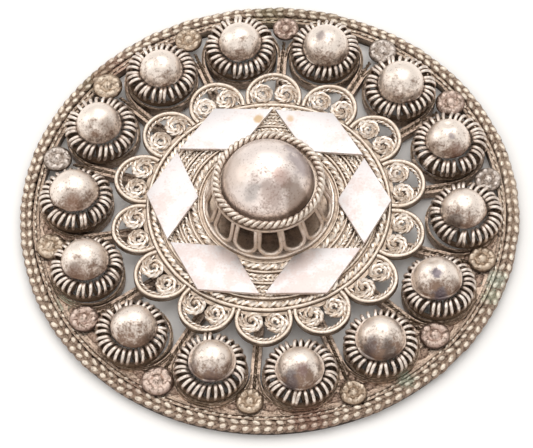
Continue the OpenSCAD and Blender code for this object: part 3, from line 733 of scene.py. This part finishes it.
def rosetteMesh(i):
    turn, away, _, scale = rosetteTable[i]
    radius, top, foot, rings = (rosette[key] for key in ("radius", "top", "foot", "rings"))
    profile = [(k / rings * (radius - rosette["edge"]), top) for k in range(rings + 1)]
    profile += [(radius, top - rosette["edgeDrop"]), (radius, foot), (radius / 2, foot), (0, foot)]
    grains = rosetteGrains(i)
    bm = bmesh.new()
    turned(bm, profile, rosette["steps"])
    closeUp(bm)
    for vert in bm.verts:
        if vert.co.z < top - rosette["topFrom"]:
            continue
        flat = vert.co.xy
        # the grains stand out of the solder that ran between them, all lower toward the edge
        high = max(math.sqrt(max(0.0, size ** 2 - (flat - at).length_squared)) for at, size in grains)
        seed = Vector((flat.x * rosette["runWaves"], flat.y * rosette["runWaves"], i * 3.0))
        run = rosette["run"] * (0.5 + 0.5 * noise.noise(seed))
        ring = rosette["ringDeep"] * math.exp(-((flat.length - rosette["ring"]) / rosette["ringWide"]) ** 2)
        edge = min(1.0, (radius - flat.length) / rosette["edgeSlope"])
        bulge = (scale - 1) * (1 - (flat.length / radius) ** 2)
        vert.co.z += (max(high * rosette["flatten"], run) - ring) * edge + bulge
        seed = Vector((flat.x * rosette["roughWaves"], flat.y * rosette["roughWaves"], i * 7.0))
        vert.co.z += rosette["rough"] * noise.noise(seed)
    angle = spokeStart - i * pitch + math.radians(turn)
    bm.transform(Matrix.Diagonal((scale, scale, 1, 1)))
    bm.transform(Matrix.Translation(polar(away, angle)) @ Matrix.Rotation(angle, 4, "Z"))
    return toMesh(bm, risingRub(top, rosette["rubRise"], *rosette["rub"]))


for i in range(count):
    label = "%02d" % (i + 1)
    finish("rosette_" + label + "_grains", [rosetteMesh(i)], rosetteSilver[rosetteTable[i][2]],
           ["rosette_" + label])
print("rosettes made")


# Petals: a strip on edge, a twisted lining and two scrolls each

petal = {"at": 13.05, "radius": 2.86, "strip": 0.42, "foot": 1.95, "top": 2.6, "disc": 12.25, "steps": 34,
         "corner": ((0, 0.14), (0.05, 0.04), (0.14, 0)),  # how far in and down the top's edges are rounded
         "wave": 2.2, "uneven": 0.05, "rubRise": 0.35, "rub": (0.05, 0.37),
         "joint": [(12.25, 1.95), (12.6, 1.95), (12.6, 2.27), (12.25, 2.3)], "jointSteps": 120,
         "jointRub": 0.2}
# short is how much sooner than the strip the lining stops on its way to the disc
lining = {"radius": 2.24, "height": 2.26, "thick": 0.38, "strand": 0.54, "lay": 0.9, "short": 0.25,
          "points": 40}
scroll = {"at": 13.3, "side": 1.18, "height": 2.36, "from": 0.12, "to": 1.12, "turns": 2.15, "ease": 0.85,
          "end": 0.6, "points": 72, "thick": 0.38, "strand": 0.34, "lay": 1.3}


def petalReach(radius, inside):
    # half angle of a petal's arc that stays outside the disc
    share = (inside ** 2 - petal["at"] ** 2 - radius ** 2) / (2 * petal["at"] * radius)
    return math.acos(share)


def petalStrip(turn):
    r, wide, top = petal["radius"], petal["strip"], petal["top"]
    profile = [(r - wide, petal["foot"]), (r, petal["foot"])]
    profile += [(r - inward, top - down) for inward, down in petal["corner"]]
    profile += [(r - wide + inward, top - down) for inward, down in reversed(petal["corner"])]
    half = petalReach(r - wide / 2, petal["disc"])
    bm = bmesh.new()
    turned(bm, profile, petal["steps"], centre=(petal["at"], 0), angle=2 * half, start=-half)
    closeUp(bm)
    bm.transform(turn)
    return toMesh(bm)


def scrollLine(turn, side):
    # a spiral from its small inner end outward
    line = []
    centre = Vector((scroll["at"], side * scroll["side"], scroll["height"]))
    for k in range(scroll["points"] + 1):
        share = k / scroll["points"]
        radius = scroll["from"] + (scroll["to"] - scroll["from"]) * share ** scroll["ease"]
        spin = side * (math.pi * scroll["end"] + tau * scroll["turns"] * (share - 1))
        line.append(turn @ (centre + polar(radius, spin)))
    return line


def petalPieces():
    strips = bmesh.new()
    linings, scrolls = ([], []), ([], [])
    half = petalReach(lining["radius"], petal["disc"] + lining["short"])
    arc = arcPath(lining["radius"], lining["height"], -half, half, lining["points"], (petal["at"], 0))
    for i in range(count):
        turn = Matrix.Rotation(petalStart - i * pitch, 4, "Z")
        shape = petalStrip(turn)
        strips.from_mesh(shape)
        bpy.data.meshes.remove(shape)
        paths, outs = twisted([turn @ p for p in arc], lining["thick"], lining["lay"], closed=False)
        linings[0].extend(paths)
        linings[1].extend(outs)
        for side in (-1, 1):
            paths, outs = twisted(scrollLine(turn, side), scroll["thick"], scroll["lay"], closed=False)
            scrolls[0].extend(paths)
            scrolls[1].extend(outs)
    for vert in strips.verts:
        vert.co += wander(vert.co, petal["wave"], petal["uneven"])
    joint = bmesh.new()
    turned(joint, petal["joint"], petal["jointSteps"])
    closeUp(joint)
    # the strips are rubbed pale on top, and their lower walls are painted dark as the shade under the top
    meshes = [toMesh(strips, risingRub(petal["top"] - petal["rubRise"], petal["rubRise"], *petal["rub"])),
              toMesh(joint, lambda v: petal["jointRub"]),
              wires(*linings, lining["thick"] * lining["strand"], closed=False),
              wires(*scrolls, scroll["strand"], closed=False)]
    finish("petal_work", meshes, petalSilver, ["petal_border"])


petalPieces()
print("petals made")


# Disc: a sheet that slopes down from its flat middle, with rings of plain and twisted wire

disc = {"radius": 12.15, "edge": 2.2, "middle": 2.9, "flat": 7.0, "sheet": 0.35,
        "rings": (0, 3.5, 7.0, 9.6, 12.15), "steps": 144, "points": 180, "sheetRub": 0.3,
        "close": 0.84, "strand": 0.6,  # shares of a twist's thickness
        "plainRub": 0.05, "wave": 3.0, "uneven": 0.03}  # plain wire is rubbed almost evenly
# radius, thickness, rise of the centre above the sheet, length of one turn (0 for plain wire), direction
discWires = [(12.0, 0.4, 0.24, 0, 1), (11.4, 0.78, 0.1, 1.3, 1), (10.75, 0.34, 0.22, 0, 1),
             (10.38, 0.42, 0.12, 0.95, 1), (9.98, 0.42, 0.12, 0.95, -1), (9.58, 0.42, 0.12, 0.95, 1),
             (9.2, 0.27, 0.2, 0, 1), (8.8, 0.44, 0.12, 0.95, -1), (8.4, 0.44, 0.12, 0.95, 1),
             (8.0, 0.27, 0.2, 0, 1), (7.42, 0.74, 0.1, 1.4, 1), (6.98, 0.2, 0.14, 0, 1)]


def sheetHeight(radius):
    share = (disc["radius"] - max(radius, disc["flat"])) / (disc["radius"] - disc["flat"])
    return disc["edge"] + (disc["middle"] - disc["edge"]) * share


def discPieces():
    bm = bmesh.new()
    top = [(r, sheetHeight(r)) for r in disc["rings"]]
    under = [(r, z - disc["sheet"]) for r, z in reversed(top)]
    turned(bm, top + under, disc["steps"])
    closeUp(bm)
    meshes = [toMesh(bm, lambda v: disc["sheetRub"])]
    for radius, thick, rise, lay, hand in discWires:
        path = arcPath(radius, sheetHeight(radius) + rise, points=disc["points"])
        if lay:
            strands = twisted(path, thick * disc["close"], lay, hand=hand)
            meshes.append(wires(*strands, thick * disc["strand"]))
        else:
            path = [p + wander(p, disc["wave"], disc["uneven"]) for p in path]
            meshes.append(wires([path], [[upward * disc["plainRub"]] * len(path)], thick, sides=8))
    finish("disc_work", meshes, discSilver, ["centre_disc"])


discPieces()
print("disc made")


# Star: six flat lozenges that leave a six-pointed star between them

plate = {"foot": 3.15, "thick": 0.33, "clear": 6.9, "edge": 0.07, "start": 85, "pitch": 60,
         "upperFrom": 0.1, "rubbedFrom": 0.25, "rub": 0.9, "sideRub": 0.3, "sharpAngle": 35}
# turn in degrees, distance, length and width, clockwise from the one right of the top
plateTable = [(0.4, 9.49, 10.4, 5.3), (1.9, 9.5, 10, 5.4), (0.8, 9.25, 10.7, 5.85),
              (-1.9, 9.34, 10.7, 5.9), (-2.2, 9.6, 10.3, 5.2), (-1, 9.55, 10.36, 5.5)]


def plateMesh(i):
    extra, away, long, wide = plateTable[i]
    angle = math.radians(plate["start"] - (i + 0.5) * plate["pitch"] + extra)
    half, side = long / 2, wide / 2
    bm = bmesh.new()
    corners = [(-side, 0), (0, -half), (side, 0), (0, half)]
    face = bm.faces.new([bm.verts.new((x, y, plate["foot"])) for x, y in corners])
    raised = bmesh.ops.extrude_face_region(bm, geom=[face])["geom"]
    raised = [g for g in raised if isinstance(g, bmesh.types.BMVert)]
    bmesh.ops.translate(bm, verts=raised, vec=upward * plate["thick"])
    bmesh.ops.recalc_face_normals(bm, faces=bm.faces)
    bm.transform(Matrix.Rotation(angle, 4, "Z") @ Matrix.Translation((away, 0, 0)))
    # the inner corner is cut off where the crown's wire stands
    inward = polar(1, angle)
    bmesh.ops.bisect_plane(bm, geom=bm.verts[:] + bm.edges[:] + bm.faces[:],
                           plane_co=inward * plate["clear"], plane_no=inward, clear_inner=True)
    bmesh.ops.holes_fill(bm, edges=bm.edges)
    level = plate["foot"] + plate["upperFrom"]
    upper = [e for e in bm.edges if all(v.co.z > level for v in e.verts)]
    bmesh.ops.bevel(bm, geom=upper, offset=plate["edge"], offset_type="OFFSET", segments=2, profile=0.5,
                    affect="EDGES", material=-1)
    bmesh.ops.recalc_face_normals(bm, faces=bm.faces)
    flatFrom = plate["foot"] + plate["rubbedFrom"]
    return toMesh(bm, lambda v: plate["rub"] if v.co.z > flatFrom else plate["sideRub"])


for i in range(len(plateTable)):
    finish("star_plate_%d" % (i + 1), [plateMesh(i)], plateSilver,
           ["star_lozenge_%d" % (i + 1)], sharpAngle=plate["sharpAngle"])
print("star made")


# Crown: gallery, rope ring and dome

gallery = {"windows": 14, "start": -92, "wire": 0.46, "bend": 1.1, "topSide": 0.91,
           "lowRadius": 6.2, "lowHeight": 3.38, "topRadius": 5.25, "topHeight": 6.6,
           "legPoints": 6, "bendPoints": 12, "wave": 1.5, "uneven": 0.06, "rubUp": 0.5,
           "footRing": [(5.85, 2.95), (6.6, 2.95), (6.62, 3.12), (6.52, 3.26), (6.2, 3.27), (5.9, 3.2)],
           "seat": [(4.1, 6.0), (4.9, 6.0), (4.9, 6.45), (5.6, 6.45), (5.62, 6.6), (5.55, 6.72),
                    (4.65, 6.72), (4.65, 6.25), (4.1, 6.25)],
           # the rings are painted darker above dimAbove and below dimBelow, under the rope and against the
           # disc, as shade
           "steps": 96, "rub": 0.75, "dimShadeRub": 0.4, "dimAbove": 5, "dimBelow": 3.1}
# degrees added to each window's even place, from the front anticlockwise
windowTurns = [1.4, -1.9, -3.6, -3.7, -2.5, -1, 0, 0, 0, 0.5, 1, 1.4, 3.2, 3.1]
# windows whose legs lean sideways at the foot: number from the front, shift in mm
leaning = {1: 0.2, 2: 0.15}
rope = {"radius": 5.2, "right": 0.1, "height": 7.19, "thick": 0.84, "strand": 0.52, "turns": 25,
        "perTurn": 14, "points": 120}
# the dome's low band, behind the rope, is painted dark as shade
crown = {"radius": 4.6, "foot": 6.3, "wall": 0.28, "rings": 28, "steps": 96, "wave": 2.4, "uneven": 0.05,
         "rub": 0.8, "lowShadeRub": 0.45, "lowBelow": 0.9}


def galleryMesh():
    # each window is one bent wire: down a leg, round the bend at the foot and up again
    paths, outs = [], []
    rise = gallery["topHeight"] - gallery["lowHeight"]
    splay = gallery["lowRadius"] - gallery["topRadius"]
    length, bend, top = math.hypot(rise, splay), gallery["bend"], gallery["topSide"]
    steps, bendSteps = gallery["legPoints"], gallery["bendPoints"]
    leg = [(top + (bend - top) * k / steps, length - (length - bend) * k / steps) for k in range(steps)]
    arc = [math.pi * k / bendSteps for k in range(bendSteps + 1)]
    local = [(-across, along) for across, along in leg]
    local += [(-bend * math.cos(a), bend - bend * math.sin(a)) for a in arc]
    local += reversed(leg)
    for i in range(gallery["windows"]):
        angle = math.radians(gallery["start"] + windowTurns[i]) + i * tau / gallery["windows"]
        line, out = [], []
        for across, along in local:
            share = along / length
            across += leaning.get(i, 0) * (1 - share)
            radius = gallery["lowRadius"] - splay * share
            point = polar(radius, angle, gallery["lowHeight"] + rise * share)
            sideways = polar(across, angle + math.pi / 2)
            line.append(point + sideways + wander(point, gallery["wave"], gallery["uneven"]))
            out.append((polar(1, angle) + upward * gallery["rubUp"]).normalized())
        paths.append(line)
        outs.append(out)
    legs = wires(paths, outs, gallery["wire"], sides=8, closed=False)
    bm = bmesh.new()
    turned(bm, gallery["footRing"], gallery["steps"])
    turned(bm, gallery["seat"], gallery["steps"])
    closeUp(bm)
    # the seat under the rope and the foot ring's lowest edge are painted dark, as shade
    low, high = gallery["dimBelow"], gallery["dimAbove"]
    rings = toMesh(bm, lambda v: gallery["rub"] if low <= v.co.z <= high else gallery["dimShadeRub"])
    return [legs, rings]


def ropeMesh():
    line = arcPath(rope["radius"], rope["height"], points=rope["points"], centre=(rope["right"], 0))
    strands = twisted(line, rope["thick"], tau * rope["radius"] / rope["turns"], perTurn=rope["perTurn"])
    return wires(*strands, rope["thick"] * rope["strand"], sides=10)


def crownMesh():
    radius, within = crown["radius"], crown["radius"] - crown["wall"]
    arc = [math.pi / 2 * k / crown["rings"] for k in range(crown["rings"] + 1)]
    outer = [(radius * math.sin(a), radius * math.cos(a)) for a in arc]
    inner = [(within * math.sin(a), within * math.cos(a)) for a in reversed(arc)]
    bm = bmesh.new()
    turned(bm, outer + inner, crown["steps"])
    closeUp(bm)
    for vert in bm.verts:
        vert.co += wander(vert.co + Vector((0, 0, 40)), crown["wave"], crown["uneven"])
    bm.transform(Matrix.Translation((0, 0, crown["foot"])))
    # the low band behind the rope is painted dark as shade
    level = crown["foot"] + crown["lowBelow"]
    return toMesh(bm, lambda v: crown["rub"] if v.co.z > level else crown["lowShadeRub"])


finish("gallery_wires", galleryMesh(), galleryWire, ["gallery"])
finish("crown_rope", [ropeMesh()], crownWire, ["rope_ring"])
finish("crown_top", [crownMesh()], crownSilver, ["crown_dome"])
print("crown made")


# Floor, light and camera

# matt white card: even and pale, so that it only carries the brooch's soft shadow
floorLook = {"size": 2.0, "colour": "#f9f8f7", "rough": 0.9}
floorMesh = bpy.data.meshes.new("floor")
bm = bmesh.new()
bmesh.ops.create_grid(bm, x_segments=1, y_segments=1, size=floorLook["size"] / 2)
bm.to_mesh(floorMesh)
bm.free()
floor = bpy.data.objects.new("floor", floorMesh)
bpy.context.scene.collection.objects.link(floor)
paper = bpy.data.materials.new("matt white card")
paper.use_nodes = True
paper.node_tree.nodes.clear()
paperShader = addNode(paper.node_tree, "ShaderNodeBsdfPrincipled",
                      {"Base Color": hexColour(floorLook["colour"]), "Roughness": floorLook["rough"]})
addNode(paper.node_tree, "ShaderNodeOutputMaterial", {0: paperShader.outputs[0]})
floorMesh.materials.append(paper)

# name, place in metres, size in metres, power in watts
lights = [("soft box above", (0.06, 0.20, 0.56), 0.60, 1.28),
          ("sheet left", (-0.50, 0.15, 0.30), 0.40, 0.46),
          ("card in front", (-0.10, -0.50, 0.20), 0.45, 0.26)]
roomLook = {"colour": "#fffdfa", "strength": 0.9}
lightColour = hexColour(roomLook["colour"])
for name, place, size, power in lights:
    lamp = bpy.data.lights.new(name, "AREA")
    lamp.shape = "SQUARE"
    lamp.size = size
    lamp.energy = power
    lamp.color = lightColour[:3]
    lightObject = bpy.data.objects.new(name, lamp)
    lightObject.location = place
    lightObject.rotation_euler = Vector(place).to_track_quat("Z", "Y").to_euler()
    bpy.context.scene.collection.objects.link(lightObject)

world = bpy.data.worlds.new("pale room")
bpy.context.scene.world = world
world.use_nodes = True
world.node_tree.nodes["Background"].inputs["Color"].default_value = lightColour
world.node_tree.nodes["Background"].inputs["Strength"].default_value = roomLook["strength"]
bpy.context.scene.view_settings.view_transform = "Standard"

# the photograph's view: 0.4 m away, 58 degrees up, turned by almost 3 degrees;
# the focal length, width, height and centre are in pixels
view = {"place": (0, -0.2104, 0.34019), "right": (0.99881, -0.04146, -0.02564),
        "up": (0.04875, 0.84947, 0.52538), "back": (0, -0.526, 0.85048),
        "focal": 4000, "width": 533, "height": 448, "centre": (269.41, 218.76)}
lens = bpy.data.cameras.new("camera")
lens.sensor_width = 36
lens.lens = view["focal"] * lens.sensor_width / view["width"]
lens.shift_x = (view["width"] / 2 - view["centre"][0]) / view["width"]
lens.shift_y = (view["centre"][1] - view["height"] / 2) / view["width"]
lens.clip_start = 0.01
camera = bpy.data.objects.new("camera", lens)
turn = Matrix((view["right"], view["up"], view["back"])).transposed().to_quaternion().to_matrix()
camera.matrix_world = Matrix.Translation(view["place"]) @ turn.to_4x4()
bpy.context.scene.collection.objects.link(camera)
bpy.context.scene.camera = camera
print("pieces %(pieces)d, triangles %(triangles)d" % made)
